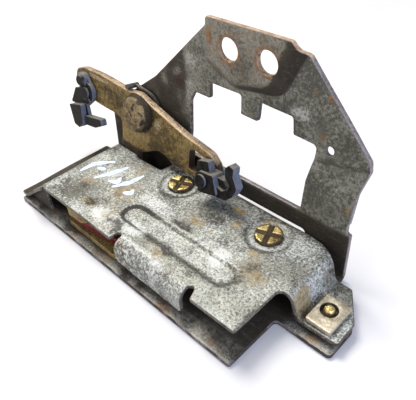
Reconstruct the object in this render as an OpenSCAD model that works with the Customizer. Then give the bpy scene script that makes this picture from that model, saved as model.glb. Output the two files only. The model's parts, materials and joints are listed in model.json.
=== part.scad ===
// Vehicle door latch: a folded mounting frame, a pressed casing cover with the claw and pawl
// inside, and a bell-crank release lever with a rod clip at each end.
// X runs along the length, +Y is the back (the upright's side) and +Z is up.
// Origin: underside of the base, midway between the two pivot pins.

/* [Base] */
// Length of the base, left to right
base_l = 120; // [118:0.5:121]
// Depth of the base, from its front edge to the upright
base_d = 50; // [50:0.1:50.3]
// Sheet thickness of the mounting frame
frame_t = 1.8; // [1.6:0.1:1.8]
// Reach of the tab beyond the right end of the base
tab_reach = 20.4; // [18:0.2:22]

/* [Upright] */
// Overall height
upright_h = 77; // [72:0.5:82]
// Lean of the two arms, from the vertical
arm_tilt = 11.5; // [11.5:0.1:11.5]
// How far the bolt pad stands out of the upright
pad_rise = 1.6; // [1:0.1:1.7]
// Distance between the two bolt holes
pad_hole_gap = 16.1; // [14:0.1:18]
// Diameter of the bolt holes
pad_hole_d = 8; // [6:0.5:9]

/* [Casing] */
// Height of the cover's top above the underside
cover_z = 14.4; // [14.4:0.1:15]
// Sheet thickness of the cover
cover_t = 1.4; // [1.2:0.1:1.4]
// Distance between the claw pivot and the pawl pivot
pivot_gap = 44; // [44:0.1:44]
// Radius of the pivot pins' bearing part
pin_r = 5; // [4.8:0.05:5]
// Radius of the pivot pins' heads
pin_head_r = 5.1; // [4.8:0.1:5.6]

/* [Release lever] */
// Thickness of the lever
lever_t = 3.4; // [3:0.1:3.4]
// Radius of the lever's rivet where the lever turns on it
lever_pin_r = 3.5; // [3:0.1:3.5]
// Radius of the lever rivet's head
lever_head_r = 7.6; // [6:0.1:8]

/* [Fits] */
// Radial clearance of every running fit
fit = 0.05; // [0.02:0.01:0.08]

/* [Hidden] */
$fn = 48;

// colours
zinc = "darkgray";
gold = "darkgoldenrod";
black_plastic = "darkslategray";

// pivots, measured from the base's front left corner
claw_p = [58, 40.6];
pawl_p = [claw_p[0] + pivot_gap, 40.6];
origin = [claw_p[0] + pivot_gap / 2, claw_p[1], 0];

// upright: front faces of its three flat zones, and the heights where it folds
low_y = base_d + 0.8;
low_z = 22;
high_z = 46.8;
high_y = low_y + (high_z - low_z) * tan(arm_tilt);
pad_y = high_y - pad_rise;
pad_z = 68;
pad_x = 80.35;

// casing: the layers stacked between the base and the cover
cover_under = cover_z - cover_t;
dish_depth = 0.75;
dish_floor_r = 6.6;
dish_rim_r = 8.8;
rib_depth = 1;
rib_floor_r = 3.3;
rib_rim_r = 5.2;
rib_y = 17.2;
flange_z = 5.3;
foot_z = 4.2;
slide_z = frame_t + 0.2;
slide_t = 0.8;
leaf_z = 3;
liner_z = 5.2;
upper_z = 8;
claw_top = 11.4;
pawl_top = 8.5;
ratchet_r = 30;
drive_pin = [pawl_p[0], pawl_p[1] - 9];
drive_pin_r = 1.5;
guide_pts = [[38, 46], [116, 45.8]];
guide_r = 1.5;
guide_shank_r = 1.2;
slide_travel = 4.24;
neck_r = 3.5;
pin_head_h = 1.75;
cross_w = 1.1;
cross_depth = 0.6;
stop_top = 11.6;

// tab at the right end: a pin through the base, the cover and a square plate
tab_p = [132.4, 33];
tab_pin_r = 1.7;
tab_plate_t = 1.8;
tab_hole_r = 3;

// lever plane: parallel to the arms, its front face meets the cover's top here
lever_y = 43.4;
gap_to_arm = (low_y - lever_y) * cos(arm_tilt) - (low_z - cover_z) * sin(arm_tilt);
lever_p = [28.7, 18.3];
left_stud = [-5.2, 16.8];
right_stud = [71.6, 8.2];
stud_r = 2.2;
stud_head_r = 2.6;
rivet_shank_r = 3;
rivet_foot_r = 5;
rivet_foot_h = 1.6;

// ---- helpers ----

function unit(v) = v / norm(v);

// points of the arc that rounds corner b, radius r, between neighbours a and c
function corner(a, b, c, r) =
    r <= 0 ? [b] :
    let (u = unit(a - b), w = unit(c - b),
         half = acos(max(-1, min(1, u * w))) / 2,
         centre = b + unit(u + w) * r / sin(half),
         p = b + u * r / tan(half) - centre,
         q = b + w * r / tan(half) - centre,
         from = atan2(p[1], p[0]),
         turn = atan2(p[0] * q[1] - p[1] * q[0], p * q),
         steps = max(2, ceil(abs(turn) / 15)))
    [for (i = [0:steps]) centre + r * [cos(from + turn * i / steps), sin(from + turn * i / steps)]];

function xy(p) = [p[0], p[1]];

// closed outline with rounded corners; each point is [x, y] or [x, y, radius]
function rounded(pts) =
    let (n = len(pts))
    [for (i = [0:n - 1])
        each corner(xy(pts[(i + n - 1) % n]), xy(pts[i]), xy(pts[(i + 1) % n]),
                    len(pts[i]) > 2 ? pts[i][2] : 0)];

// open line with rounded corners
function rounded_line(pts) =
    let (n = len(pts))
    [for (i = [0:n - 1])
        each (i == 0 || i == n - 1) ? [xy(pts[i])] :
        corner(xy(pts[i - 1]), xy(pts[i]), xy(pts[i + 1]), len(pts[i]) > 2 ? pts[i][2] : 0)];

// the normal on the right of the line at point i, stretched so that the sheet keeps its thickness
function mitre(p, i) =
    let (n = len(p),
         a = i > 0 ? unit(p[i] - p[i - 1]) : unit(p[1] - p[0]),
         b = i < n - 1 ? unit(p[i + 1] - p[i]) : a,
         m = unit([a[1], -a[0]] + [b[1], -b[0]]))
    m / (m * [a[1], -a[0]]);

// a strip of sheet, thickness t, on the right of a face line
function sheet(face, t) =
    concat(face, [for (i = [len(face) - 1:-1:0]) face[i] + mitre(face, i) * t]);

function polar(centre, r, a) = centre + r * [cos(a), sin(a)];

// shift from the base's corner to the part's origin
module place() translate(-origin) children();

// extrude a YZ profile along X, from x0 to x1
module along_x(x0, x1)
    translate([x0, 0, 0]) rotate([90, 0, 90]) linear_extrude(x1 - x0) children();

// extrude an XZ outline along Y, from y0 to y1
module along_y(y0, y1)
    translate([0, y1, 0]) rotate([90, 0, 0]) linear_extrude(y1 - y0) children();

// extrude a plan outline from z0 to z1
module slab(z0, z1) translate([0, 0, z0]) linear_extrude(z1 - z0) children();

module rod(p, r, z0, z1) translate([p[0], p[1], z0]) cylinder(r = r, h = z1 - z0);

module tube(p, r_out, r_in, z0, z1)
    difference() {
        rod(p, r_out, z0, z1);
        rod(p, r_in, z0 - 1, z1 + 1);
    }

// one turn of spring wire
module coil(p, r, wire_r, z)
    translate([p[0], p[1], z]) rotate_extrude() translate([r, 0]) circle(r = wire_r, $fn = 16);

// straight wire between two plan points
module wire(a, b, wire_r, z)
    translate([a[0], a[1], z]) rotate([0, 90, atan2(b[1] - a[1], b[0] - a[0])])
        cylinder(r = wire_r, h = norm(b - a), $fn = 16);

// coordinates of the lever's front face: X, up the lean, and out to the front
module lever_plane() place()
    translate([0, lever_y, cover_z]) rotate([90 - arm_tilt, 0, 0]) children();

// obround seen from above
module obround(a, b, r) {
    translate(a) circle(r = r);
    translate(b) circle(r = r);
    translate([a[0], a[1] - r]) square([b[0] - a[0], 2 * r]);
}

// ---- mounting frame ----

base_outline = rounded([[0, 0, 1], [base_l, 0, 1], [base_l, 22.2, 1.5],
    [base_l + tab_reach, 22.2, 1.5], [base_l + tab_reach, 34.5, 2], [132.2, 47.5, 1.5],
    [126.5, 47.5, 1], [126.4, base_d - 1], [2.3, base_d - 1], [2.3, 47.5, 1], [0, 47.5, 1]]);

upright_outline = rounded([[2.3, 0], [126.5, 0], [126.3, 22, 1], [125, 24, 1], [125, 36, 6],
    [126.9, 44, 3], [126.3, 47.2, 3], [102.7, 73.5, 2], [98.6, 75.4, 3], [97, upright_h, 1],
    [63.1, upright_h, 1], [61.6, 75.7, 1], [61.6, 74, 1], [31, 45.9, 6], [20, 38, 8],
    [9, 30, 6], [4.2, 22, 3]]);

window_outline = rounded([[106.9, 22, 1.5], [106.4, 33, 6], [107.8, 41.9, 3], [107.8, 45.6, 1.6],
    [98.5, 46, 0.8], [98, 52.2, 1], [84.6, 52.7, 1], [83.9, 45.3, 0.8], [76.3, 45.5, 0.8],
    [76.3, 52.7, 1], [61.6, 52.7, 1], [61.6, 46.4, 0.8], [53.4, 46.4, 1.5], [51.7, 42.6, 2],
    [53, 30.6, 4], [53, 22, 1.5]]);

arm_hole = [112.5, 45.7];
fold_relief = [126.6, 23];

slot_outline = rounded([[51, 3.2, 1], [109.6, 3.2, 1], [109.6, 14.2, 1.5], [51, 14.2, 1.5]]);

pad_outline = rounded([[59.9, 74], [59.9, 60.6, 4], [73.7, 53.7, 6], [94.5, 57.3, 8], [102.4, 73.4],
    [98.6, 75.4, 3], [97, upright_h, 1], [63.1, upright_h, 1], [61.6, 75.7, 1]]);

pad_recess = rounded([[61.7, 74], [61.7, 61.7, 3], [74, 55.6, 5], [93.4, 59, 6.5], [100.2, 73.4],
    [97.2, 74.6, 2], [96.5, upright_h + 1], [64, upright_h + 1], [63.4, 75]]);

upright_face = rounded_line([[base_d - 8, frame_t], [low_y, frame_t, 1.2], [low_y, low_z, 5],
    [high_y, high_z, 5], [high_y, upright_h + 1]]);

module pad_holes()
    for (side = [-1, 1])
        translate([pad_x + side * pad_hole_gap / 2, pad_z]) circle(d = pad_hole_d);

module upright_sheet()
    difference() {
        intersection() {
            along_x(0, 130) polygon(sheet(upright_face, frame_t));
            along_y(base_d - 2.5, high_y + 5) difference() {
                polygon(upright_outline);
                polygon(window_outline);
                polygon(slot_outline);
                translate(arm_hole) circle(d = 3);
                translate(fold_relief) circle(r = 1.8);
            }
        }
        along_y(high_y - 1, high_y + 5) polygon(pad_outline);
        lever_rivet_hole();
    }

module lever_rivet_hole()
    translate([0, lever_y, cover_z]) rotate([90 - arm_tilt, 0, 0]) rod(lever_p, rivet_shank_r, -12, -3);

module raised_pad()
    difference() {
        along_y(pad_y, high_y + frame_t) polygon(pad_outline);
        along_y(pad_y + frame_t, high_y + 5) polygon(pad_recess);
        along_y(pad_y - 1, high_y + 5) pad_holes();
    }

module base_plate()
    difference() {
        slab(0, frame_t) polygon(base_outline);
        for (p = [claw_p, pawl_p]) rod(p, neck_r, -1, frame_t + 1);
        for (p = guide_pts) rod(p, guide_shank_r, -1, frame_t + 1);
        rod(tab_p, tab_pin_r, -1, frame_t + 1);
    }

module mounting_frame()
    color(zinc) place() {
        base_plate();
        upright_sheet();
        raised_pad();
    }

// ---- casing cover ----

cover_face = rounded_line([[-1, foot_z], [2.4, foot_z, 3], [16, cover_z, 4], [124.2, cover_z, 3.6],
    [126.4, flange_z, 1.6], [141, flange_z]]);

cover_outline = rounded([[-1, 1.2, 0.8], [17, 1.2, 0.8], [17, 3.1], [61, 3.1, 0.8], [61, 6.6, 1.2],
    [97.5, 6.6], [99.6, 6.8, 1.6], [101.2, 3.1, 0.8], [119.4, 3.1, 1], [119.4, 24.2, 2],
    [127, 24.6, 2], [140.8, 25, 1], [140.5, 34.9, 2], [132.6, 46.3, 1], [124, 46.3, 2],
    [118.2, 49.1, 2], [112, 49.9], [46, 49.9, 1], [45, 41.6, 1], [29.6, 41.4, 1], [29.2, 42.6, 0.8],
    [17, 42.9], [2.4, 46.6], [-1, 46.6, 1]]);

front_roll_face = rounded_line([[2.1, 5], [2.1, cover_z, 4.5], [8, cover_z]]);

module cover_sheet()
    intersection() {
        along_y(0, 51) polygon(sheet(cover_face, cover_t));
        slab(0, cover_z + 1) polygon(cover_outline);
    }

module ramp_front_wall()
    along_y(3.1, 4.5) polygon([[2.4, 2.8], [19, 2.8], [19, cover_under + 0.3], [15.6, cover_under + 0.1],
        [3, foot_z - 0.4]]);

module ramp_foot() slab(foot_z - cover_t, foot_z) translate([-1, 1.2]) square([18, 3]);

module dish_top(p)
    translate([p[0], p[1], cover_z - dish_depth]) cylinder(r1 = dish_floor_r, r2 = dish_rim_r, h = dish_depth + 0.01);

module rib_top()
    translate([0, 0, cover_z - rib_depth]) {
        for (x = [claw_p[0], pawl_p[0]])
            translate([x, rib_y, 0]) cylinder(r1 = rib_floor_r, r2 = rib_rim_r, h = rib_depth + 0.01);
        along_x(claw_p[0], pawl_p[0])
            polygon([[rib_y - rib_floor_r, 0], [rib_y + rib_floor_r, 0],
                     [rib_y + rib_rim_r, rib_depth + 0.01], [rib_y - rib_rim_r, rib_depth + 0.01]]);
    }

module casing_cover()
    color("silver") place() difference() {
        union() {
            cover_sheet();
            along_x(63.5, 97.5) polygon(sheet(front_roll_face, cover_t));
            ramp_front_wall();
            ramp_foot();
            for (p = [claw_p, pawl_p]) rod(p, dish_rim_r - 0.4, cover_under - dish_depth, cover_under + 0.2);
            slab(cover_under - rib_depth, cover_under + 0.2)
                obround([claw_p[0], rib_y], [pawl_p[0], rib_y], rib_rim_r - 0.4);
        }
        for (p = [claw_p, pawl_p]) {
            dish_top(p);
            rod(p, neck_r, 10, 20);
        }
        rib_top();
        rod(tab_p, tab_pin_r, 0, 10);
    }

// ---- pins and small fixed pieces ----

// pivot pin: foot in the base, bearing part, neck in the cover and a head staked with a cross
module pivot_pin(p) {
    head_z = cover_z - dish_depth;
    rod(p, neck_r, 0, frame_t);
    rod(p, pin_r, frame_t, cover_under - dish_depth);
    rod(p, neck_r, cover_under - dish_depth, head_z);
    difference() {
        rod(p, pin_head_r, head_z, head_z + pin_head_h);
        for (turn = [20, 110])
            translate([p[0], p[1], head_z + pin_head_h - cross_depth]) rotate(turn)
                translate([-8, -cross_w / 2, 0]) cube([16, cross_w, 2]);
    }
}

module claw_pivot_pin() color(gold) place() pivot_pin(claw_p);
module pawl_pivot_pin() color(gold) place() pivot_pin(pawl_p);

module slide_guides()
    color(zinc) place()
        for (p = guide_pts) {
            rod(p, guide_shank_r, 0, frame_t);
            rod(p, guide_r, frame_t, slide_z + slide_t + 0.1);
            rod(p, 2.6, slide_z + slide_t + 0.1, slide_z + slide_t + 1.2);
        }

module claw_stop()
    color("dimgray") place() slab(frame_t, stop_top)
        polygon(rounded([[64, 4.2, 0.6], [69, 4.2, 0.6], [69, 8.8, 0.6], [64, 8.8, 0.6]]));

module tab_plate()
    color("lightgray") place() difference() {
        slab(flange_z, flange_z + tab_plate_t)
            polygon(rounded([[128.4, 25.8, 0.6], [137.5, 25.8, 0.6], [137.5, 38, 0.6], [128.4, 38, 0.6]]));
        rod(tab_p, tab_hole_r, 0, 10);
    }

module tab_rivet()
    color(gold) place() {
        rod(tab_p, tab_pin_r, 0, flange_z + 2.1);
        translate([tab_p[0], tab_p[1], flange_z + 2.1]) cylinder(r1 = tab_pin_r, r2 = 0.9, h = 1);
    }

module tab_spacer()
    color(zinc) place() tube(tab_p, 4, tab_pin_r, frame_t, flange_z - cover_t);

// ---- lever pivot ----

module lever_rivet()
    color("tan") lever_plane() {
        rod(lever_p, rivet_shank_r, -gap_to_arm - frame_t - 1, -gap_to_arm);
        rod(lever_p, rivet_foot_r, -gap_to_arm - frame_t - rivet_foot_h, -gap_to_arm - frame_t);
        rod(lever_p, lever_pin_r, -gap_to_arm, 0.15);
        rod(lever_p, lever_head_r, 0.15, 2.6);
        translate([lever_p[0], lever_p[1], 2.6]) cylinder(r1 = lever_head_r, r2 = 5, h = 1.6);
    }

module lever_washer()
    color(zinc) lever_plane() tube(lever_p, 5.4, lever_pin_r, -gap_to_arm, -lever_t - 0.1);

// ---- claw ----

claw_lower = rounded([[31.2, 3.6, 2], [60.5, 3.4, 1], [63.4, 5.2, 1], [64.4, 14], [64, 37], [52, 37.1],
    [27.2, 22.8, 2], [25.5, 17.7, 1]]);

claw_upper = rounded([[31.4, 3.8, 2.2], [40.5, 4.2, 1.5], [46, 9.5, 3], [61, 12, 3], [64, 37],
    [52, 37.1], [27.2, 22.8, 2], [25.5, 17.7, 1]]);

claw_middle = rounded([[33, 4.6, 1], [44, 5.5, 4], [56, 7.1, 4], [62.5, 8.6, 1], [64, 37], [52, 37.1],
    [28.4, 22.8, 2], [26.8, 17.7, 1]]);

notch_p = [35.7, 13.2];
notch_r = 4.5;
claw_rivet_pts = [polar(claw_p, 22, -75), polar(claw_p, 24, -132), polar(claw_p, 24, -30)];

module claw_shape(outline, bore_r)
    difference() {
        union() {
            polygon(outline);
            translate(claw_p) circle(r = 9.3);
            intersection() {
                translate(claw_p) circle(r = ratchet_r, $fn = 96);
                polygon([claw_p, polar(claw_p, 40, -78), polar(claw_p, 50, -42), polar(claw_p, 40, -9)]);
            }
        }
        translate(notch_p) circle(r = notch_r);
        translate([20, notch_p[1] - notch_r]) square([notch_p[0] - 20, 2 * notch_r]);
        translate(claw_p) circle(r = bore_r);
        for (p = claw_rivet_pts) translate(p) circle(r = 2);
    }

bush_r = 6.2;

module claw_lower_leaf() color(gold) place() slab(leaf_z, liner_z) claw_shape(claw_lower, bush_r);

module claw_liner()
    color("firebrick") place() slab(liner_z, upper_z) difference() {
        claw_shape(claw_middle, 8.3);
        translate([63.9, 26]) square([2.6, 18]);
    }

module claw_upper_leaf() color(gold) place() slab(upper_z, claw_top) claw_shape(claw_upper, bush_r);

module claw_bush() color(zinc) place() tube(claw_p, bush_r, pin_r + fit, leaf_z, claw_top + 0.2);

module claw_rivets() color(zinc) place() for (p = claw_rivet_pts) rod(p, 2, leaf_z, claw_top);

module claw_spring()
    color("gray") place() {
        for (z = [5.9, 7.25]) coil(claw_p, 7.25, 0.6, z);
        wire([65.25, 40.6], [65.25, 27], 0.6, 5.9);
    }

// ---- pawl ----

pawl_outline = rounded([[97, 47.6], [81, 29, 1], [79, 22, 1], [86, 17.6, 2.5], [102, 27, 3],
    [109.5, 36.5]]);

module pawl()
    color(gold) place() slab(leaf_z, pawl_top) difference() {
        union() {
            translate(pawl_p) circle(r = 8.6);
            polygon(pawl_outline);
        }
        translate(claw_p) circle(r = ratchet_r + 0.4, $fn = 96);
        translate(pawl_p) circle(r = pin_r + fit);
        translate(drive_pin) circle(r = drive_pin_r);
    }

module pawl_collar() color(zinc) place() tube(pawl_p, 6, pin_r + fit, pawl_top, 12.1);
module pawl_drive_pin() color(zinc) place() rod(drive_pin, drive_pin_r, slide_z, pawl_top);

module pawl_spring()
    color("gray") place() {
        for (z = [9.4, 10.9]) coil(pawl_p, 6.9, 0.7, z);
        wire([95.1, 40.6], [91.5, 27], 0.7, 9.4);
    }

// ---- release slide ----

slide_outline = rounded([[27, 42.4], [46.5, 42.4, 1], [46.5, 46, 0.6], [87, 46, 0.6], [87, 28.3, 0.8],
    [105.2, 28.3, 0.8], [105.2, 35.1, 0.8], [92.3, 35.1, 0.8], [92.3, 46, 0.6], [108.2, 46, 0.6],
    [108.2, 42.6, 0.8], [119.5, 42.6, 0.8], [119.5, 48.6, 0.8], [27, 48.6, 0.8]]);

module release_slide()
    color(zinc) place() {
        slab(slide_z, slide_z + slide_t) difference() {
            polygon(slide_outline);
            for (p = guide_pts)
                obround(p - [slide_travel + 0.3, 0], p, guide_r + 0.3);
            translate(drive_pin + [-drive_pin_r - 0.3, -drive_pin_r - 0.3])
                square([2 * drive_pin_r + 0.6, 2 * drive_pin_r + 1.6]);
        }
        along_x(28.4, 29.6) polygon([[42.4, slide_z], [46.4, slide_z], [46.4, 8.6], [43.4, 8.6]]);
    }

// ---- release lever and rod clips (coordinates of the lever's front face) ----

lever_outline = rounded([[-15, 25.2, 3], [-9.7, 26.6, 6], [2.2, 26.8, 8], [22.7, 25.5, 6], [27.2, 26.3, 6],
    [35.3, 23.8, 8], [55.8, 18.3], [69.3, 15.9, 3], [73, 12.8, 3], [75.2, 6.5, 3], [73.6, 3.4, 1.5],
    [59, 3.3], [54.4, 3.5, 3], [49.7, 3.2, 3], [45.4, 5.6, 3], [40.5, 5.8, 4], [36.8, 4, 4],
    [32.2, 1.6, 3], [28, 0.6, 1], [28, -9.6, 1], [17.4, -9.6, 1], [17.4, 6.5, 3], [16.7, 11.8, 2],
    [11.8, 12.7, 4], [-0.6, 13.2, 4], [-15.2, 16.4, 3.6], [-16.4, 21.2, 4]]);

lever_window = rounded([[59.3, 6, 0.8], [66.4, 6, 0.8], [66.4, 13.4, 0.8], [58.8, 14.6, 0.8]]);

module release_lever()
    color(gold) lever_plane() slab(-lever_t, 0) difference() {
        polygon(lever_outline);
        polygon(lever_window);
        translate(lever_p) circle(r = lever_pin_r + fit);
        for (p = [left_stud, right_stud]) translate(p) circle(r = stud_r);
    }

spring_r = 7.7;
spring_wire = 0.9;
spring_end = 83;
spring_leg = 8.7;

// most of a turn behind the lever, then a leg along the top edge and a hook over it
module lever_return_spring()
    color("gray") lever_plane() translate([lever_p[0], lever_p[1], -4.5]) {
        rotate(spring_end - 330) rotate_extrude(angle = 330)
            translate([spring_r, 0]) circle(r = spring_wire, $fn = 16);
        rotate(spring_end) translate([spring_r, 0, 0]) rotate([-90, 0, 0])
            cylinder(r = spring_wire, h = spring_leg, $fn = 16);
        rotate(spring_end) translate([spring_r, spring_leg, -0.9])
            cylinder(r = 1.05, h = 5.8, $fn = 16);
    }

// stud: shank riveted in the lever, journal for the clip and a small head in front of it
module clip_stud(p, front) {
    rod(p, stud_r, -lever_t, front);
    rod(p, stud_head_r, -lever_t - 0.8, -lever_t);
    rod(p, stud_head_r, front, front + 0.9);
}

left_front = 2.6;
right_front = 6.2;

module left_clip_stud() color(black_plastic) lever_plane() clip_stud(left_stud, left_front);
module right_clip_stud() color(black_plastic) lever_plane() clip_stud(right_stud, right_front);

left_knob = [-8, 21.9];
left_knob_r = 3.3;
left_boss_r = 4.8;

left_web = rounded([[-16, 9.6, 0.6], [-12.3, 17.4, 1], [-8, 18.5], [-1.6, 13.6], [-5, 10.6]]);

left_block = rounded([[-13.6, 9.7, 0.6], [-4.6, 12, 0.6], [-3.4, 3.4, 0.6], [-6.2, 0.7, 0.8],
    [-10, 1.4, 0.6]]);

left_groove = [[-8.8, 11], [-3.5, 12.3], [-1.6, 6.6], [0, 3.8], [-5, 1.7], [-8, 2]];

left_hook = rounded([[-2.4, 7.4], [1.7, 8], [8.5, 9.2, 0.8], [9.6, 6.6, 0.8], [5, 4.2, 0.6], [-2.2, 3.2]]);

// a knob and a boss side by side, then a web down to a jaw: a block, a groove and a hook
module left_rod_clip()
    color(black_plastic) lever_plane() {
        difference() {
            union() {
                rod(left_stud, left_boss_r, 0.3, left_front - 0.2);
                slab(0.3, 1.8) polygon([left_knob + [-3, -1.5], left_stud + [-3.5, -2], left_stud + [3, 3],
                                        left_knob + [2, 2.8]]);
                slab(0.3, 3.2) polygon(left_web);
                rod(left_knob, left_knob_r, 0.3, 3);
                translate([left_knob[0], left_knob[1], 3]) cylinder(r1 = left_knob_r, r2 = 2, h = 1.2);
            }
            rod(left_stud, stud_r + fit, -1, 10);
            rod(left_stud, stud_head_r + 0.3, left_front - fit, 10);
        }
        slab(2.8, 6) polygon(left_block);
        slab(2, 3.6) polygon(left_groove);
        slab(2, 5) polygon(left_hook);
    }

right_housing = rounded([[68.2, 9.8, 0.8], [70, 11.4, 0.8], [76.6, 12.1, 0.8], [79.3, 5, 0.8],
    [70.6, 3.1, 1.2]]);

right_post = rounded([[67.6, 9.6], [67.6, 14.4, 0.6], [72.8, 15.8, 0.6], [74.2, 10.8]]);

right_jaw = rounded([[78.2, 4.1, 0.6], [82.8, 4.6, 1], [85.6, 7.2, 1], [87.4, 11, 1.5], [84.9, 15, 1.5],
    [84.8, 18, 0.6], [82.6, 18.7, 0.6], [81, 17, 0.6], [81.6, 13.4, 0.6], [83.8, 11.6, 0.6], [83.4, 9.6, 0.6],
    [80.8, 7.6, 0.6], [78, 8.2]]);

right_tongue = [[75.6, 11], [80, 11], [81.6, 9.2], [79, 6], [76.4, 6]];

// a housing on the stud, a post above it, a tongue and a jaw that hooks up beside it
module right_rod_clip()
    color(black_plastic) lever_plane() {
        difference() {
            slab(0.3, right_front - 0.2) polygon(right_housing);
            rod(right_stud, stud_r + fit, -1, 10);
        }
        slab(1.5, 4.6) difference() {
            polygon(right_post);
            translate(right_stud) circle(r = stud_r + fit);
        }
        slab(0.3, 3.6) polygon(right_tongue);
        slab(1.4, 5) polygon(right_jaw);
    }

mounting_frame();
casing_cover();
claw_pivot_pin();
pawl_pivot_pin();
slide_guides();
claw_stop();
tab_plate();
tab_rivet();
tab_spacer();
lever_rivet();
lever_washer();
claw_lower_leaf();
claw_liner();
claw_upper_leaf();
claw_bush();
claw_rivets();
claw_spring();
pawl();
pawl_collar();
pawl_drive_pin();
pawl_spring();
release_slide();
release_lever();
lever_return_spring();
left_clip_stud();
left_rod_clip();
right_clip_stud();
right_rod_clip();
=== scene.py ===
"""Looks of a vehicle door latch: worn galvanised sheet, a gold lever, black rod clips and brass pins."""
import json
import math
from bisect import bisect

import bpy
import numpy as np
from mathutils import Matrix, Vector, noise
from mathutils.geometry import delaunay_2d_cdt


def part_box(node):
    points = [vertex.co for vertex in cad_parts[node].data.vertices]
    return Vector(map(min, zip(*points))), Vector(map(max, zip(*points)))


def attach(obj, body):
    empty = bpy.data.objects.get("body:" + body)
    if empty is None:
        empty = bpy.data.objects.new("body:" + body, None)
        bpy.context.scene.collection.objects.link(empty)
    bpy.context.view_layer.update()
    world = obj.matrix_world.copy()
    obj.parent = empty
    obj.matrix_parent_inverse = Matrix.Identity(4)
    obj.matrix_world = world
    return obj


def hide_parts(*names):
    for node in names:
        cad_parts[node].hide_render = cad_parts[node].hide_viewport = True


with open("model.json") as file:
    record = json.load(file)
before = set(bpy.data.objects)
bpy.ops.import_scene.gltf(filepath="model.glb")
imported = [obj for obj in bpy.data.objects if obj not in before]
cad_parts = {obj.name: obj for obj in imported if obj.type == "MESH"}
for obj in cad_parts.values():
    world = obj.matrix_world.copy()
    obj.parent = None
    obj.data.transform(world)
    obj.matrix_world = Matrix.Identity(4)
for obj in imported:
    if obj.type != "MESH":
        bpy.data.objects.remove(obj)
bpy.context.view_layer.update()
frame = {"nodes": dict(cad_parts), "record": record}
MM = 0.001

# All sizes below are millimetres from the base's front left bottom corner, unless a name says otherwise.
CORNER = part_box("mounting_frame")[0]
COVER_TOP = 14.4
FRAME_T = 1.8
COVER_T = 1.4
LEVER_T = 3.4
# The upright leans back between two heights, and the lever leans with it.
TILT = math.radians(11.5)
LOW_Y, LOW_Z, HIGH_Z = 50.8, 22.0, 46.8
HIGH_Y = LOW_Y + (HIGH_Z - LOW_Z) * math.tan(TILT)
LEVER_Y = 43.4
# Places on the lever, as (x, height along it from the cover's top).
LEVER_PIVOT = (28.7, 18.3)
LEFT_STUD = (-5.2, 16.8)
RIGHT_STUD = (71.6, 8.2)


def plan(box):
    """The (x, y) of the middle of a CAD node's box, in millimetres from the base's corner."""
    low, high = box
    return [(c - k) / MM for c, k in zip((low + high) / 2, CORNER)][:2]


CLAW_PIN = plan(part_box("claw_pivot_pin"))
PAWL_PIN = plan(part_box("pawl_pivot_pin"))
TAB_PIN = plan(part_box("tab_rivet"))


def to_frame(p):
    """A point in millimetres from the base's corner, as metres in the row frame."""
    return CORNER + Vector(p) * MM


def smooth(x, low, high):
    """0 below low, 1 above high and a soft step between."""
    t = min(1.0, max(0.0, (x - low) / (high - low)))
    return t * t * (3 - 2 * t)


def ripple(p, size, seed=0.0):
    """Smooth noise about zero, with bumps about size across."""
    return noise.noise(Vector((p[0] / size + seed, p[1] / size - seed, p[2] / size + 2 * seed)))


# ---------------------------------------------------------------- outlines

def corner_arc(a, b, c, r, chord):
    """Points of the arc of radius r that rounds corner b between a and c."""
    if r <= 0:
        return [b]
    u, w = (a - b).normalized(), (c - b).normalized()
    half = math.acos(max(-1.0, min(1.0, u.dot(w)))) / 2
    if half > math.radians(89):
        return [b]
    reach = min(r / math.tan(half), 0.48 * (a - b).length, 0.48 * (c - b).length)
    r = reach * math.tan(half)
    centre = b + (u + w).normalized() * r / math.sin(half)
    p, q = b + u * reach - centre, b + w * reach - centre
    start = math.atan2(p.y, p.x)
    turn = math.atan2(p.x * q.y - p.y * q.x, p.dot(q))
    count = max(2, math.ceil(abs(turn) * r / chord), math.ceil(abs(turn) / math.radians(20)))
    return [centre + r * Vector((math.cos(start + turn * i / count), math.sin(start + turn * i / count)))
            for i in range(count + 1)]


def rounded(points, closed=True, chord=0.7, step=1.1):
    """A polyline with rounded corners, from [x, y] or [x, y, radius] points, no edge longer than step."""
    flat = [Vector(p[:2]) for p in points]
    radii = [p[2] if len(p) > 2 else 0 for p in points]
    n = len(flat)
    line = []
    for i in range(n):
        ends = not closed and i in (0, n - 1)
        line += [flat[i]] if ends else corner_arc(flat[i - 1], flat[i], flat[(i + 1) % n], radii[i], chord)
    if closed:
        line.append(line[0])
    dense = [line[0]]
    for a, b in zip(line, line[1:]):
        pieces = max(1, math.ceil((b - a).length / step))
        dense += [a.lerp(b, k / pieces) for k in range(1, pieces + 1)]
    out = [dense[0]]
    for p in dense[1:]:
        if (p - out[-1]).length > 0.05:
            out.append(p)
    if closed and (out[0] - out[-1]).length < 0.05:
        out.pop()
    return out


def circle(centre, r, count=36):
    return [Vector((centre[0] + r * math.cos(a), centre[1] + r * math.sin(a)))
            for a in (2 * math.pi * i / count for i in range(count))]


def area(loop):
    return sum(a.x * b.y - b.x * a.y for a, b in zip(loop, loop[1:] + loop[:1])) / 2


def inward(loop, solid_inside):
    """Unit normals of a closed loop, pointing into the material."""
    sign = 1 if (area(loop) > 0) == solid_inside else -1
    out = []
    n = len(loop)
    for i in range(n):
        t = (loop[(i + 1) % n] - loop[i - 1]).normalized()
        out.append(Vector((-t.y, t.x)) * sign)
    return out


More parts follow.
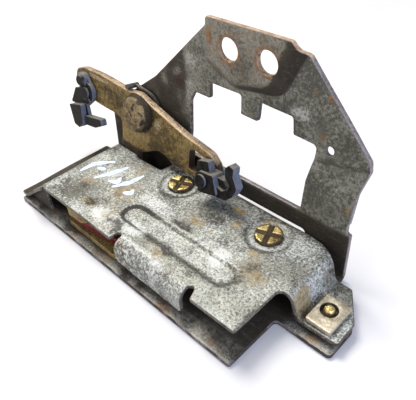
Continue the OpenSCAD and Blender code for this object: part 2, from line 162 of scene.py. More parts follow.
def to_loops(points, loops):
    """Whether each point lies inside an odd number of the loops, and its distance to the nearest edge."""
    p = np.array(points, float)
    inside = np.zeros(len(p), bool)
    near = np.full(len(p), 1e9)
    for loop in loops:
        a = np.array([tuple(v) for v in loop])
        b = np.roll(a, -1, axis=0)
        for (ax, ay), (bx, by) in zip(a, b):
            crosses = (ay > p[:, 1]) != (by > p[:, 1])
            if abs(by - ay) > 1e-12:
                at = ax + (p[:, 1] - ay) * (bx - ax) / (by - ay)
                inside ^= crosses & (p[:, 0] < at)
            dx, dy = bx - ax, by - ay
            t = np.clip(((p[:, 0] - ax) * dx + (p[:, 1] - ay) * dy) / (dx * dx + dy * dy), 0, 1)
            near = np.minimum(near, np.hypot(p[:, 0] - ax - t * dx, p[:, 1] - ay - t * dy))
    return inside, near


def hex_grid(outline, step):
    """Points of an even triangle grid that covers an outline."""
    xs, ys = [p.x for p in outline], [p.y for p in outline]
    grid = []
    row = 0
    y = min(ys)
    while y < max(ys):
        x = min(xs) + (step / 2 if row % 2 else 0)
        while x < max(xs):
            grid.append((x, y))
            x += step
        y += step * 0.866
        row += 1
    return grid


def triangulate(loops, points):
    """Fills the loops with triangles that also use the points. Returns all the flat points, the triangles,
    and the number among those points of each point given, the loops' points first."""
    flat = [v for loop in loops for v in loop] + points
    edges = []
    start = 0
    for loop in loops:
        n = len(loop)
        edges += [(start + i, start + (i + 1) % n) for i in range(n)]
        start += n
    out, _, tris, source, _, _ = delaunay_2d_cdt(flat, edges, [], 0, 1e-5)
    middles = [sum((out[i] for i in t), Vector((0, 0))) / 3 for t in tris]
    tris = [t for t, solid in zip(tris, to_loops(middles, loops)[0]) if solid]
    tris = [t if area([out[i] for i in t]) > 0 else list(reversed(t)) for t in tris]
    return out, tris, {origin: i for i, origins in enumerate(source) for origin in origins}


# ---------------------------------------------------------------- meshes

WORLD_AXES = (Vector((1, 0, 0)), Vector((0, 1, 0)), Vector((0, 0, 1)))
# A sheet's rounded edge, as (inset, depth) shares of its size.
EDGE_ROUNDING = [(0.3, 0.3), (0.0, 1.0)]


def no_stain(p, n):
    return 0.0, 0.0, 0.0


class Build:
    """Collects vertices (millimetres), faces, the faces' material numbers and a colour mask per vertex.
    A paint function gives the mask (dirt with painted shade, rust, white oxide with some painted highlight)
    at a point with its normal."""

    def __init__(self):
        self.verts, self.faces, self.mats, self.masks = [], [], [], []

    def add(self, points, faces, mat, masks):
        """Adds a patch and returns the number of its first vertex."""
        base = len(self.verts)
        self.verts += [tuple(p) for p in points]
        self.faces += [[base + i for i in f] for f in faces]
        self.mats += [mat] * len(faces)
        self.masks += masks
        return base

    def plate(self, outline, place, thick, holes=(), step=1.3, edge=0.3, paint=no_stain, edge_paint=None,
              edge_mat=1, extra=()):
        """A sheet: the flat outline with holes, carried by place(u, v) -> (point, normal) of its face side.
        The extra loops only add points, where the face has a step that needs them."""
        edge_paint = edge_paint or paint
        loops = [outline, *holes]
        normals = [inward(loop, i == 0) for i, loop in enumerate(loops)]
        inner = [[p + n * edge for p, n in zip(loop, ns)] for loop, ns in zip(loops, normals)]
        grid = hex_grid(outline, step)
        inside, near = to_loops(grid, inner)
        if extra:
            near = np.minimum(near, to_loops(grid, extra)[1])
        points = [Vector(g) for g, ok, d in zip(grid, inside, near) if ok and d > 0.5 * step]
        if extra:
            steps = [p for loop in extra for p in loop]
            points += [p for p, ok, d in zip(steps, *to_loops(steps, inner)) if ok and d > 0.3 * step]
        out, tris, index = triangulate(inner, points)
        put = [place(v.x, v.y) for v in out]
        under = [(p - n * thick, -n) for p, n in put]
        top = self.add([p for p, _ in put], tris, 0, [paint(p, n) for p, n in put])
        low = self.add([p for p, _ in under], [t[::-1] for t in tris], 0, [paint(p, n) for p, n in under])
        levels = [(k * edge, d * edge) for k, d in EDGE_ROUNDING]
        levels += [(inset, thick - depth) for inset, depth in reversed(levels)]
        start = 0
        for loop, ns in zip(loops, normals):
            n = len(loop)
            forward = (area(loop) > 0) == (loop is outline)
            rings = [[top + index[start + i] for i in range(n)]]
            for inset, depth in levels:
                at = [place(*(p + k * inset)) for p, k in zip(loop, ns)]
                tone = [edge_paint(p, m) for p, m in at]
                first = self.add([p - m * depth for p, m in at], [], edge_mat, tone)
                rings.append([first + i for i in range(n)])
            rings.append([low + index[start + i] for i in range(n)])
            for a, b in zip(rings, rings[1:]):
                for i in range(n):
                    j = (i + 1) % n
                    quad = [a[i], b[i], b[j], a[j]]
                    self.faces.append(quad if forward else quad[::-1])
                    self.mats.append(edge_mat)
            start += n

    def polar(self, centre, height, radius, rings=16, spokes=64, axes=WORLD_AXES, depth=2.0, paint=no_stain):
        """A round boss: height(r, angle) above centre, out to radius, with a side that goes down to depth."""
        ax, ay, az = axes
        c = Vector(centre)
        turns = [2 * math.pi * k / spokes for k in range(spokes)]
        pts = [c + az * height(0, 0)]
        for i in range(1, rings + 1):
            r = radius * i / rings
            pts += [c + ax * r * math.cos(a) + ay * r * math.sin(a) + az * height(r, a) for a in turns]
        pts += [c + ax * radius * math.cos(a) + ay * radius * math.sin(a) - az * depth for a in turns]
        pts.append(c - az * depth)
        faces = [[0, 1 + k, 1 + (k + 1) % spokes] for k in range(spokes)]
        for i in range(rings):
            a, b = 1 + i * spokes, 1 + (i + 1) * spokes
            faces += [[a + k, b + k, b + (k + 1) % spokes, a + (k + 1) % spokes] for k in range(spokes)]
        last = 1 + rings * spokes
        end = len(pts) - 1
        faces += [[last + (k + 1) % spokes, last + k, end] for k in range(spokes)]
        self.add(pts, faces, 0, [paint(p, az) for p in pts])

    def finish(self, name, materials, body, slot_name, replaces=(), sharp=38):
        mesh = bpy.data.meshes.new(name)
        mesh.from_pydata([tuple(to_frame(v)) for v in self.verts], [], self.faces)
        mesh.polygons.foreach_set("material_index", self.mats)
        for m in materials:
            mesh.materials.append(m)
        layer = mesh.color_attributes.new("mask", "FLOAT_COLOR", "POINT")
        layer.data.foreach_set("color", [c for m in self.masks for c in (*m, 1.0)])
        mesh.shade_smooth()
        mesh.set_sharp_from_angle(angle=math.radians(sharp))
        mesh.update()
        obj = bpy.data.objects.new(name, mesh)
        bpy.context.collection.objects.link(obj)
        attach(obj, body)
        if replaces:
            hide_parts(*replaces)
        return obj


# ---------------------------------------------------------------- materials

class Shader:
    """A Principled material, with short words for the nodes that its looks are made of."""

    def __init__(self, name, seed):
        self.mat = bpy.data.materials.new(name)
        self.mat.use_nodes = True
        self.nodes = self.mat.node_tree.nodes
        self.bsdf = self.nodes["Principled BSDF"]
        self.bsdf.inputs["Specular IOR Level"].default_value = 0.2
        place = self.node("TexCoord").outputs["Object"]
        self.mm = self.node("VectorMath", [place, (1 / MM,) * 3, (seed, 2.3 * seed, -1.7 * seed)],
                            operation="MULTIPLY_ADD").outputs[0]
        # The mask's channels: dirt with painted shade, rust, and white oxide with some painted highlight.
        mask = self.node("Attribute", attribute_name="mask").outputs["Color"]
        self.grime, self.rust, self.white = self.node("SeparateColor", [mask]).outputs[:3]

    def node(self, kind, inputs=(), **settings):
        node = self.nodes.new("ShaderNode" + kind)
        for key, value in settings.items():
            setattr(node, key, value)
        for socket, value in zip(node.inputs, inputs):
            if isinstance(value, bpy.types.NodeSocket):
                self.mat.node_tree.links.new(value, socket)
            elif value is not None:
                socket.default_value = value
        return node

    def noise(self, size, detail=5, rough=0.65, stretch=(1, 1, 1)):
        """Noise from 0 to 1 with features about size millimetres across, longer where stretch is under 1."""
        where = self.node("VectorMath", [self.mm, stretch], operation="MULTIPLY").outputs[0]
        node = self.node("TexNoise", [where])
        node.inputs["Scale"].default_value = 1 / size
        node.inputs["Detail"].default_value = detail
        node.inputs["Roughness"].default_value = rough
        return node.outputs[0]

    def maths(self, operation, a, b):
        return self.node("Math", [a, b], operation=operation).outputs[0]

    def plus(self, a, b):
        return self.maths("ADD", a, b)

    def minus(self, a, b):
        return self.maths("SUBTRACT", a, b)

    def times(self, a, b):
        return self.maths("MULTIPLY", a, b)

    def most(self, a, b):
        return self.maths("MAXIMUM", a, b)

    def ramp(self, value, low, high, to_low=0.0, to_high=1.0):
        inputs = [value, low, high, to_low, to_high]
        return self.node("MapRange", inputs, interpolation_type="SMOOTHSTEP").outputs[0]

    def mix(self, factor, a, b):
        return self.node("MixRGB", [factor, a, b]).outputs[0]

    def broken(self, mask, noise, spread, soft=0.2):
        """The mask with its edge broken up by noise; a share of it stays soft."""
        shift = self.times(self.minus(noise, 0.5), spread)
        patches = self.ramp(self.plus(mask, shift), 0.38, 0.66, 0.0, 1.0 - soft)
        return self.plus(patches, self.times(mask, soft))

    def corners(self, distance):
        """Painted shade: 1 deep in inside corners and gaps, 0 in the open, from ambient occlusion."""
        open_air = self.node("AmbientOcclusion", [None, distance * MM], samples=6).outputs["AO"]
        return self.ramp(open_air, 0.75, 0.2)

    def edges(self, radius):
        """1 along sharp edges, found with the bevel node."""
        bevel = self.node("Bevel", [radius * MM], samples=4).outputs[0]
        normal = self.node("NewGeometry").outputs["Normal"]
        dot = self.node("VectorMath", [bevel, normal], operation="DOT_PRODUCT").outputs["Value"]
        return self.ramp(self.minus(1.0, dot), 0.03, 0.25)

    def finish(self, colour, roughness, metallic, height, depth):
        """Bump: height is 0 to 1 and depth its size in millimetres."""
        links = self.mat.node_tree.links
        bump = self.node("Bump")
        bump.inputs["Distance"].default_value = depth * MM
        links.new(height, bump.inputs["Height"])
        links.new(bump.outputs[0], self.bsdf.inputs["Normal"])
        for name, value in (("Base Color", colour), ("Roughness", roughness), ("Metallic", metallic)):
            if isinstance(value, bpy.types.NodeSocket):
                links.new(value, self.bsdf.inputs[name])
            else:
                self.bsdf.inputs[name].default_value = value
        return self.mat


def rgb(r, g, b):
    return r, g, b, 1.0


# The dark tone of dirt and of painted shade.
DIRT_AND_SHADE_TONE = rgb(0.020, 0.014, 0.009)
DUST_AND_TOP_LIGHT = rgb(0.22, 0.20, 0.17)
RUST = rgb(0.12, 0.050, 0.016), rgb(0.30, 0.15, 0.055)
OCHRE = rgb(0.13, 0.085, 0.032), rgb(0.33, 0.25, 0.115)


def worn_metal(name, seed, dark, light, fleck, flecks, rust=RUST, metallic=0.7, rough=(0.34, 0.62),
               mottle_size=2.4, stretch=(1, 1, 1), depth=0.12, worn=None, pepper=0.5, soil=0.0):
    """Metal with a mottled skin between two tones, pale flecks and dark specks, and dirt with painted shade,
    rust and oxide with some painted highlight where the mask has them. Soil is the dirt that lies everywhere,
    and worn the tone of rubbed edges."""
    s = Shader(name, seed)
    mottle = s.noise(mottle_size, 8, 0.75, stretch)
    cloud = s.noise(15, 3, 0.5)
    tone = s.plus(mottle, s.times(s.minus(cloud, 0.5), 0.7))
    colour = s.mix(s.ramp(tone, 0.38, 0.64), dark, light)
    specks = s.ramp(s.plus(s.noise(0.8, 4, 0.8), s.times(cloud, 0.25)), 0.62, 0.74)
    colour = s.mix(s.times(specks, pepper), colour, s.mix(0.55, dark, DIRT_AND_SHADE_TONE))
    oxide = s.broken(s.plus(s.white, flecks), s.noise(0.75, 6, 0.85), 2.1, 0.15)
    colour = s.mix(s.times(oxide, 0.85), colour, fleck)
    rusty = s.broken(s.rust, s.noise(2.6, 6, 0.72), 1.0)
    rust_tone = s.mix(s.ramp(s.noise(1.6, 5), 0.35, 0.65), *rust)
    colour = s.mix(s.times(rusty, 0.85), colour, rust_tone)
    # Dirt and painted shade from the mask, soil everywhere, and painted shade in inside corners, mixed in as
    # one dark tone.
    dirt_soil_and_shade = s.plus(s.most(s.grime, soil), s.times(s.corners(4.0), 0.5))
    dirt_and_shade = s.maths("MINIMUM", s.broken(dirt_soil_and_shade, s.noise(1.3, 7, 0.8), 1.5), 1.0)
    colour = s.mix(s.times(dirt_and_shade, 0.92), colour, DIRT_AND_SHADE_TONE)
    if worn:
        colour = s.mix(s.times(s.edges(0.5), 0.75), colour, worn)
    scratches = s.ramp(s.noise(0.5, 2, 0.5, (0.06, 1, 1)), 0.62, 0.72)
    colour = s.mix(s.times(scratches, 0.14), colour, light)
    covered = s.most(s.most(oxide, rusty), dirt_and_shade)
    roughness = s.most(s.ramp(mottle, 0.3, 0.7, *rough), s.times(covered, 0.72))
    metal = s.ramp(covered, 0, 1, metallic, metallic * 0.25)
    height = s.plus(mottle, s.times(oxide, 0.35))
    return s.finish(colour, roughness, metal, height, depth)


def plastic(name, seed, dark, light, worn, gloss=(0.38, 0.6), top_dust_and_light=0.0, side=None):
    """Moulded plastic: two dull tones, dust, and edges rubbed pale. More dust with painted light from above
    can lie on what faces up, and what faces right (+x) can have a paler tone, painted light from that side."""
    s = Shader(name, seed)
    s.bsdf.inputs["Specular IOR Level"].default_value = 0.08
    mottle = s.noise(2.0, 7, 0.7)
    colour = s.mix(s.ramp(mottle, 0.35, 0.65), dark, light)
    rubbed = s.times(s.edges(0.55), s.ramp(s.noise(3.0, 5), 0.3, 0.6, 0.35, 1.0))
    colour = s.mix(s.times(rubbed, 0.8), colour, worn)
    dust = s.ramp(s.noise(1.1, 6, 0.8), 0.58, 0.75)
    colour = s.mix(s.times(dust, 0.35), colour, worn)
    facing = s.node("SeparateXYZ", [s.node("TexCoord").outputs["Normal"]]).outputs
    patchy = s.ramp(s.noise(1.4, 6, 0.7), 0.25, 0.6, 0.5, 1.0)
    # Painted light: a paler tone on faces that look right (+x), standing in for the light from that side.
    if side:
        colour = s.mix(s.times(s.ramp(facing["X"], 0.55, 0.85), patchy), colour, side)
    # Dust on upward faces, together with painted light from above.
    on_top = s.times(s.ramp(facing["Z"], 0.5, 0.9, 0.0, top_dust_and_light), patchy)
    colour = s.mix(on_top, colour, DUST_AND_TOP_LIGHT)
    return s.finish(colour, s.ramp(mottle, 0.3, 0.7, *gloss), 0.0, mottle, 0.08)


# The last six are named after the material slots of the CAD nodes that stay.
MATS = {
    "frame": worn_metal(
        "frame_zinc", 3, rgb(0.070, 0.067, 0.052), rgb(0.285, 0.275, 0.230), rgb(0.44, 0.43, 0.38), 0.08,
        mottle_size=1.3, depth=0.08),
    "frame_edge": worn_metal(
        "frame_cut", 9, rgb(0.13, 0.115, 0.115), rgb(0.27, 0.245, 0.25), rgb(0.40, 0.37, 0.36), 0.05,
        rust=(rgb(0.24, 0.15, 0.085), rgb(0.44, 0.32, 0.21)), mottle_size=1.4, stretch=(0.4, 1, 1)),
    "cover": worn_metal(
        "cover_zinc", 5, rgb(0.055, 0.054, 0.044), rgb(0.265, 0.270, 0.235), rgb(0.64, 0.65, 0.60), 0.18,
        rust=OCHRE, mottle_size=1.0, pepper=0.95, depth=0.07),
    "cover_edge": worn_metal(
        "cover_cut", 11, rgb(0.06, 0.05, 0.04), rgb(0.17, 0.15, 0.13), rgb(0.36, 0.34, 0.31), 0.05,
        mottle_size=1.2),
    "lever": worn_metal(
        "lever_gold", 7, rgb(0.065, 0.044, 0.015), rgb(0.30, 0.205, 0.075), rgb(0.55, 0.43, 0.27), 0.05,
        rust=OCHRE, mottle_size=2.0, pepper=0.8),
    "lever_edge": worn_metal(
        "lever_cut", 13, rgb(0.21, 0.145, 0.08), rgb(0.47, 0.34, 0.21), rgb(0.64, 0.52, 0.38), 0.1,
        mottle_size=1.5, stretch=(0.3, 1, 1)),
    "brass": worn_metal(
        "brass_staked", 19, rgb(0.20, 0.13, 0.05), rgb(0.66, 0.50, 0.21), rgb(0.78, 0.66, 0.4), 0.0,
        metallic=0.9, rough=(0.22, 0.42), mottle_size=1.8, depth=0.2),
    "rivet": worn_metal(
        "rivet_peened", 23, rgb(0.085, 0.057, 0.027), rgb(0.33, 0.245, 0.13), rgb(0.55, 0.46, 0.33), 0.06,
        rust=OCHRE, mottle_size=2.2, depth=0.6, pepper=0.7),
    "tab": worn_metal(
        "tab_square", 29, rgb(0.28, 0.24, 0.17), rgb(0.62, 0.55, 0.42), rgb(0.72, 0.66, 0.56), 0.1,
        rust=OCHRE, worn=rgb(0.55, 0.52, 0.46)),
    "paint": plastic(
        "white_paint", 59, rgb(0.34, 0.42, 0.66), rgb(0.56, 0.64, 0.88), rgb(0.80, 0.84, 0.95)),
    "gold_steel": worn_metal(
        "gold_passivated", 17, rgb(0.13, 0.085, 0.03), rgb(0.46, 0.33, 0.13), rgb(0.6, 0.5, 0.3), 0.02,
        worn=rgb(0.62, 0.50, 0.28), mottle_size=1.6, pepper=0.8, soil=0.34),
    "hidden_steel": worn_metal(
        "greased_steel", 31, rgb(0.05, 0.045, 0.04), rgb(0.19, 0.18, 0.16), rgb(0.35, 0.33, 0.3), 0.0,
        worn=rgb(0.36, 0.34, 0.31)),
    "spring_steel": worn_metal(
        "spring_wire", 37, rgb(0.03, 0.026, 0.022), rgb(0.11, 0.10, 0.09), rgb(0.2, 0.18, 0.16), 0.0,
        mottle_size=1.2, soil=0.3),
    "red_liner": plastic(
        "red_liner", 41, rgb(0.05, 0.008, 0.008), rgb(0.20, 0.03, 0.032), rgb(0.42, 0.15, 0.14)),
    # The clips: painted light and dust on faces that look up, and a painted pale blue tone on faces that look
    # right.
    "dark_plastic": plastic(
        "clip_black", 43, rgb(0.003, 0.003, 0.003), rgb(0.020, 0.018, 0.015), rgb(0.10, 0.098, 0.10),
        top_dust_and_light=0.7, side=rgb(0.12, 0.13, 0.16)),
    "stop_rubber": plastic(
        "stop_rubber", 47, rgb(0.012, 0.012, 0.012), rgb(0.04, 0.04, 0.04), rgb(0.12, 0.12, 0.12),
        gloss=(0.6, 0.8)),
}


# ---------------------------------------------------------------- stains

def blot(p, q, where, size):
    """1 inside a stain and 0 beyond it, with a soft edge."""
    d = math.hypot((p - where[0]) / size[0], (q - where[1]) / size[1])
    return 1 - smooth(d, 0.35, 1.25)


def blots(p, q, stains):
    """The strongest of some stains here; each is (place, size, strength)."""
    return max(strength * blot(p, q, where, size) for where, size, strength in stains)


def most(*values):
    return min(1.0, max(values))


def nearest(p, q, places):
    """Distance from a flat point to the nearest of some places."""
    return min(math.hypot(p - a, q - b) for a, b in places)


def to_segment(p, a, b):
    """Distance from a flat point to a segment."""
    ab = Vector(b) - Vector(a)
    t = min(1, max(0, (Vector(p) - Vector(a)).dot(ab) / ab.length_squared))
    return (Vector(a) + ab * t - Vector(p)).length


class Bend:
    """A rounded line walked by its length, for sheets that fold along one direction."""

    def __init__(self, points):
        self.line = rounded(points, closed=False, chord=0.3, step=200)
        self.at = [0.0]
        for a, b in zip(self.line, self.line[1:]):
            self.at.append(self.at[-1] + (b - a).length)
        way = [(b - a).normalized() for a, b in zip(self.line, self.line[1:])]
        self.way = [way[0]] + [(a + b).normalized() for a, b in zip(way, way[1:])] + [way[-1]]

    def point(self, s):
        """The point at length s and the direction there."""
        i = min(max(bisect(self.at, s) - 1, 0), len(self.line) - 2)
        t = (s - self.at[i]) / (self.at[i + 1] - self.at[i])
        return self.line[i].lerp(self.line[i + 1], t), self.way[i].lerp(self.way[i + 1], min(1, max(0, t)))

    def length(self, axis, value):
        """The length at which the line reaches this value along an axis."""
        for i, (a, b) in enumerate(zip(self.line, self.line[1:])):
            if value <= b[axis] or i == len(self.line) - 2:
                return self.at[i] + (value - a[axis]) / (b[axis] - a[axis]) * (self.at[i + 1] - self.at[i])


# ---------------------------------------------------------------- mounting frame

FRAME_FACE = Bend(
    [[0, FRAME_T], [LOW_Y, FRAME_T, 1.2], [LOW_Y, LOW_Z, 5], [HIGH_Y, HIGH_Z, 5], [HIGH_Y, 92]])
PAD_RISE, PAD_SLOPE = 1.6, 3.2
PAD_HOLES = [(72.3, 68.0), (88.4, 68.0)]
PAD_HOLE_R = 4.0
ARM_HOLE, ARM_HOLE_R = (112.5, 45.7), 1.5


def up(points):
    """An outline's (x, z) points on the upright, as (x, length along the sheet)."""
    return [[p[0], FRAME_FACE.length(1, p[1]), *p[2:]] for p in points]


FRAME_FLAT = rounded(
    [[0, 0, 1], [120, 0, 1], [120, 22.2, 1.5], [140.4, 22.2, 1.5], [140.4, 34.5, 2], [132.2, 47.5, 1.5],
     [126.5, 47.5, 1]]
    + up([[126.3, 21.4, 0.5], [124.9, 21.8, 0.9], [124.6, 24.6, 1], [125, 25.5, 1], [125, 36, 6],
          [126.9, 44, 3], [126.3, 47.2, 3], [102.7, 73.5, 2], [98.6, 75.4, 3], [97, 77, 1], [63.1, 77, 1],
          [61.6, 75.7, 1], [61.6, 74, 1], [31, 45.9, 6], [20, 38, 8], [9, 30, 6], [4.2, 22, 3]])
    + [[2.3, 47.5, 1], [0, 47.5, 1]])
FRAME_WINDOW = rounded(up(
    [[106.9, 22, 1.5], [106.4, 33, 6], [107.8, 41.9, 3], [107.8, 45.6, 1.6], [98.5, 46, 0.8], [98, 52.2, 1],
     [84.6, 52.7, 1], [83.9, 45.3, 0.8], [76.3, 45.5, 0.8], [76.3, 52.7, 1], [61.6, 52.7, 1],
     [61.6, 46.4, 0.8], [53.4, 46.4, 1.5], [51.7, 42.6, 2], [53, 30.6, 4], [53, 22, 1.5]]))
FRAME_SLOT = rounded(up([[51, 3.2, 1], [109.6, 3.2, 1], [109.6, 14.2, 1.5], [51, 14.2, 1.5]]))
PAD_FLAT = rounded(up([[60, 84], [60, 60.6, 4], [73.7, 53.7, 6], [94.5, 57.3, 9], [107.6, 84]]))


def shrunk(loop, distance):
    return [p + n * distance for p, n in zip(loop, inward(loop, True))]


class Zone:
    """A closed outline that tells how deep inside it a point lies."""

    def __init__(self, loop):
        self.start = np.array([tuple(p) for p in loop])
        self.side = np.roll(self.start, -1, axis=0) - self.start

    def depth(self, x, y):
        away = np.array((x, y)) - self.start
        t = np.clip((away * self.side).sum(1) / (self.side ** 2).sum(1), 0, 1)
        near = np.hypot(*(away - self.side * t[:, None]).T).min()
        crosses = (away[:, 1] < 0) != (away[:, 1] < self.side[:, 1])
        with np.errstate(divide="ignore", invalid="ignore"):
            left = away[:, 0] < away[:, 1] * self.side[:, 0] / self.side[:, 1]
        return near if (crosses & left).sum() % 2 else 0.0


PAD_ZONE = Zone(PAD_FLAT)


def pad_lift(x, s):
    """How far the bolt pad's face stands out of the upright here."""
    if s <= FRAME_FACE.length(1, 50):
        return 0.0
    return PAD_RISE * smooth(PAD_ZONE.depth(x, s), 0.0, PAD_SLOPE)


def fold_mark(x):
    """Height of the slanting crease across the right arm."""
    return 41 + 0.2 * (x - 109.4)


def frame_place(x, s):
    at, way = FRAME_FACE.point(s)
    normal = Vector((0, -way.y, way.x)).normalized()
    dent = 0.35 * ripple((x, s, 0), 21, 4.0) * smooth(s, 54, 70)
    if at.x > LOW_Y:
        dent -= 0.3 * smooth(x, 105, 109) * math.exp(-((at.y - fold_mark(x)) / 1.1) ** 2)
    return Vector((x, at.x, at.y)) + normal * (pad_lift(x, s) + dent), normal


def base_stain(p, n):
    """The base has painted shade under the cover and on its underside, and is speckled along the front and at
    the right.
    """
    x, y, z = p
    right = smooth(x, 121, 124)
    grime = most(0.34 + 0.6 * ripple(p, 6), 0.9 * smooth(y, 4, 10) * (1 - right), 0.35 * (n.z < -0.5))
    rust = most(0.5 * blot(x, y, (18, 4), (7, 3)), 0.3 + 0.5 * ripple(p, 8, 9))
    return grime, rust, most(0.34 * (1 - smooth(y, 2, 8)) + 0.35 * right, 0.1)


FRAME_RUST = [((63.6, 71), (2.6, 4.2), 0.75), ((46, 48.5), (4.5, 3), 0.7), ((110.9, 63.2), (1.3, 1.6), 1),
              ((105, 63.8), (0.8, 0.9), 1), ((109.4, 49.4), (1.2, 1.5), 1), ((126.6, 27.4), (1.1, 1.4), 1),
              ((109.6, 15), (2.4, 4), 0.6), ((122.9, 30), (0.9, 1.4), 1)]
FRAME_OXIDE = [((100.8, 54.2), (5.5, 4), 0.5), ((52, 58.6), (5, 4), 0.45), ((51, 49), (3, 3), 0.45)]


def frame_stain(p, n):
    x, y, z = p
    if y < LOW_Y - 3 and z < 5:
        return base_stain(p, n)
    # The left arm: dirt and a painted shadow of the lever, and rust.
    left = 1 - smooth(x, 44, 55)
    # The low band of the upright behind the cover: painted shade, near black.
    low = 1 - smooth(z, 19, 24)
    inside = PAD_ZONE.depth(x, FRAME_FACE.length(1, z)) if z > 50 else 0.0
    pad = smooth(inside, 0, 3)
    right = smooth(x, 86, 93)
    # Painted shade on the pad's sloping wall, wider on the right.
    wall = smooth(inside, 0.0, 0.9) * (1 - smooth(inside, 2 + 2.5 * right, 4.5 + 6 * right))
    wall *= 0.3 + 0.7 * smooth(x, 62, 90)
    # Painted shade along the crease across the right arm.
    crease = (1 - smooth(abs(z - fold_mark(x)), 0.3, 1.3)) * smooth(x, 106, 109)
    rim = 1 - smooth(nearest(x, z, PAD_HOLES), PAD_HOLE_R + 0.2, PAD_HOLE_R + 1.4)
    streak = 0.16 * ripple((x, 0, z * 0.12), 1.6)
    grime = most(left * (0.7 + 0.6 * ripple(p, 5, 3)) + 0.1, 0.97 * low * smooth(x, 48, 52), wall,
                 0.6 * crease, pad * (0.3 + streak), 0.2 + 0.36 * ripple(p, 7, 2), 0.55 * left * low)
    rust = most(blots(x, z, FRAME_RUST), 0.75 * rim, 0.4 * pad, 0.42 * left)
    oxide = most(blots(x, z, FRAME_OXIDE), 0.2 * smooth(x, 96, 102), 0.12, 0.22 * ripple(p, 8, 6))
    return grime, rust * (n.y < -0.3), oxide * (1 - low)


def frame_edge_stain(p, n):
    x, y, z = p
    if z < 5:
        return 0.6 + 0.5 * ripple(p, 3), 0.1, 0.3
    top = smooth(z, 71, 74)
    window = 0.6 if 51 < x < 108.2 and 24 < z < 54 else 0.0
    hole = nearest(x, z, PAD_HOLES) < PAD_HOLE_R + 0.5
    grime = most(0.2 * smooth(ripple(p, 3), 0.1, 0.5), window, 0.45 * hole)
    return grime, most(top * 0.8, 0.5 * (x < 62), 0.35, 0.9 * hole), 0.2


ARM_ROUND = circle((ARM_HOLE[0], FRAME_FACE.length(1, ARM_HOLE[1])), ARM_HOLE_R, 18)
PAD_ROUNDS = [circle((x, FRAME_FACE.length(1, z)), PAD_HOLE_R) for x, z in PAD_HOLES]
sheet = Build()
sheet.plate(FRAME_FLAT, frame_place, FRAME_T, holes=[FRAME_WINDOW, FRAME_SLOT, ARM_ROUND, *PAD_ROUNDS],
            paint=frame_stain, edge_paint=frame_edge_stain,
            extra=[shrunk(PAD_FLAT, d) for d in (0.05, 1.0, 2.0, PAD_SLOPE)])
sheet.finish("frame_sheet", [MATS["frame"], MATS["frame_edge"]], "frame", "galvanised", ["mounting_frame"])


# ---------------------------------------------------------------- casing cover

COVER_FACE = Bend([[-1, 4.2], [2.4, 4.2, 3], [16, COVER_TOP, 4], [124.2, COVER_TOP, 3.6], [126.4, 5.3, 1.6],
                   [141, 5.3]])
DISHES = [CLAW_PIN, PAWL_PIN]
DISH_DEPTH = 0.75
RIB_Y, RIB_DEPTH = 17.2, 1.0
RIB_ENDS = [(x, RIB_Y) for x, y in DISHES]
ROLL_R, ROLL_Y, ROLL_LOW = 4.5, 6.6, 5.0
ROLL_X = (63.5, 97.5)
ROLL_REACH = ROLL_R * math.pi / 2 + COVER_TOP - ROLL_R - ROLL_LOW
WALL_Y = 3.1


def along(points):
    """An outline's (x, y) points on the cover, as (length along the sheet, y)."""
    return [[COVER_FACE.length(0, p[0]), *p[1:]] for p in points]


COVER_FLAT = rounded(along(
    [[-1, 1.2, 0.8], [17, 1.2, 0.8], [17, 3.1], [61, 3.1, 0.8], [61, 6.6, 1], [62.2, 7.4, 0.8],
     [63.5, 6.6, 0.6], [63.5, ROLL_Y - ROLL_REACH, 1.5], [97.5, ROLL_Y - ROLL_REACH, 1.2], [97.5, 6.6, 0.4],
     [98.6, 7.6, 0.8], [99.8, 6.6, 1], [101.2, 3.1, 1], [119.4, 3.1, 1], [119.4, 24.2, 2], [127, 24.6, 2],
     [140.8, 25, 1], [140.5, 34.9, 2], [132.6, 46.3, 1], [124, 46.3, 2], [118.2, 49.1, 2], [112, 49.9],
     [46, 49.9, 1], [45, 41.6, 1], [29.6, 41.4, 1], [29.2, 42.6, 0.8], [17, 42.9], [2.4, 46.6],
     [-1, 46.6, 1]]))


def pressed(x, y):
    """Depth of the dishes and the rib below the cover's top."""
    dish = nearest(x, y, DISHES)
    rib = to_segment((x, y), *RIB_ENDS)
    return DISH_DEPTH * (1 - smooth(dish, 6.5, 8.9)) + RIB_DEPTH * (1 - smooth(rib, 3.3, 5.4))


def cover_place(s, y):
    at, way = COVER_FACE.point(s)
    x = at.x
    if y < ROLL_Y and ROLL_X[0] - 0.8 < x < ROLL_X[1] + 0.8:
        turn = min((ROLL_Y - y) / ROLL_R, math.pi / 2)
        down = max(0, ROLL_Y - y - ROLL_R * math.pi / 2)
        normal = Vector((0, -math.sin(turn), math.cos(turn)))
        dent = 0.3 * ripple((x, y, 0), 9, 2.0)
        centre = Vector((x, ROLL_Y, COVER_TOP - ROLL_R - down))
        return centre + normal * (ROLL_R + min(0, dent - 0.05)), normal
    normal = Vector((-way.y, 0, way.x)).normalized()
    dent = 0.3 * ripple((x, y, 0), 18, 7.0) - 0.1
    return Vector((x, y, at.y)) + normal * (dent - pressed(x, y)), normal


# Stains, and painted shade in the tab plate's hole round the rivet.
COVER_GRIME_AND_SHADE = [((82, 35.5), (7, 4), 0.62), ((39.5, 10.5), (5, 4), 0.6), (TAB_PIN, (4.5, 4.5), 1),
               ((76, 24.4), (9, 1.3), 0.7)]
COVER_OCHRE = [((86.3, 43.4), (3.4, 2), 1), ((90.1, 37.8), (2, 2.4), 0.95), ((78.3, 29.4), (5, 1.6), 0.75),
               ((39.3, 10), (6, 3), 0.65), ((86, 28), (3, 1), 0.6), ((112, 24), (6, 2.5), 0.6),
               ((106.5, 27), (4, 2), 0.45), ((125.4, 28.5), (2.6, 6), 0.8), ((99, 26), (5, 1), 0.5),
               ((128, 27), (4, 2), 0.55), ((136, 40), (5, 4), 0.45)]
COVER_OXIDE = [((62, 12), (10, 5), 0.5), ((50, 9), (9, 5), 0.55), ((96, 22), (5, 7), 0.5),
               ((60, 26), (14, 5), 0.4)]


